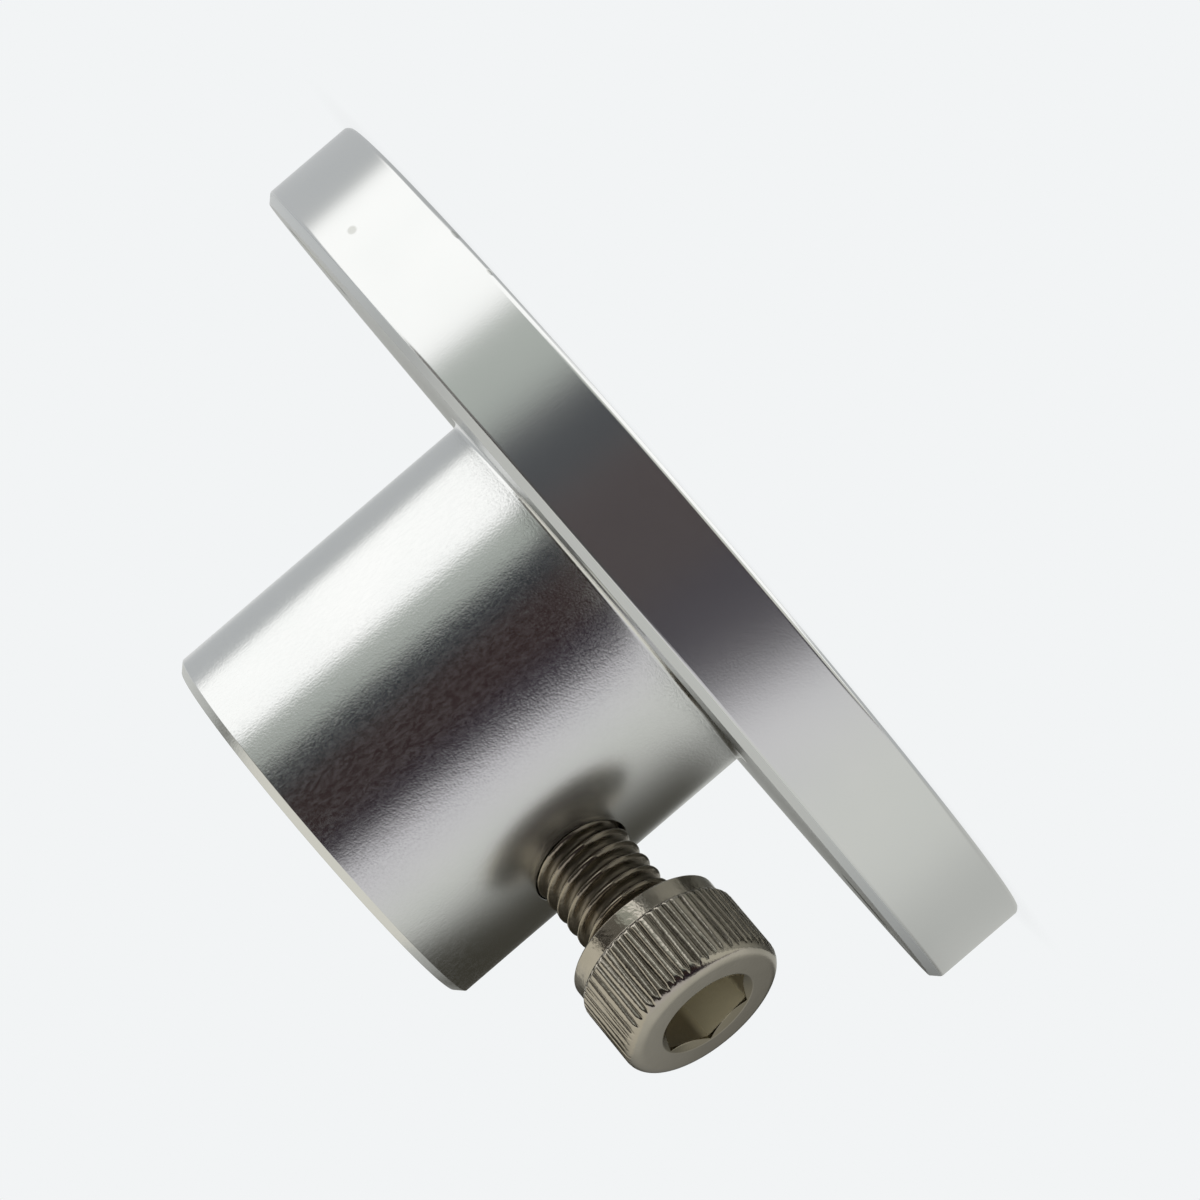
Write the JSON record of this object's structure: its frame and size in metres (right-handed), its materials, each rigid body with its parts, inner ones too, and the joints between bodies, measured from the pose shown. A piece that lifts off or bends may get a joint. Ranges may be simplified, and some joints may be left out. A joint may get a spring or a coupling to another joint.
{
  "type": "flanged mounting hub",
  "caption": "Round aluminium mounting flange with a long clamping boss, a shaft bore, bolt holes and a radial socket head clamp screw.",
  "frame": {"origin": "centre of the bore on the flange's mounting face, which the part stands on", "axes": "+Z along the bore towards the nose of the boss, -Y along the clamp screw away from the boss"},
  "size_m": [0.059, 0.059, 0.0275],
  "materials": {
    "anodised_aluminium": "turned and satin clear anodised",
    "stainless_steel": "cold headed and rolled, passivated"
  },
  "bodies": {
    "hub": {"flanged_hub": "anodised_aluminium"},
    "screw": {"clamp_screw": "stainless_steel"}
  },
  "joints": [
    {"name": "clamp_screw_travel", "type": "slide", "parent": "hub", "child": "screw", "axis": [0, 1, 0], "range_m": [-0.005, 0.0059]}
  ]
}
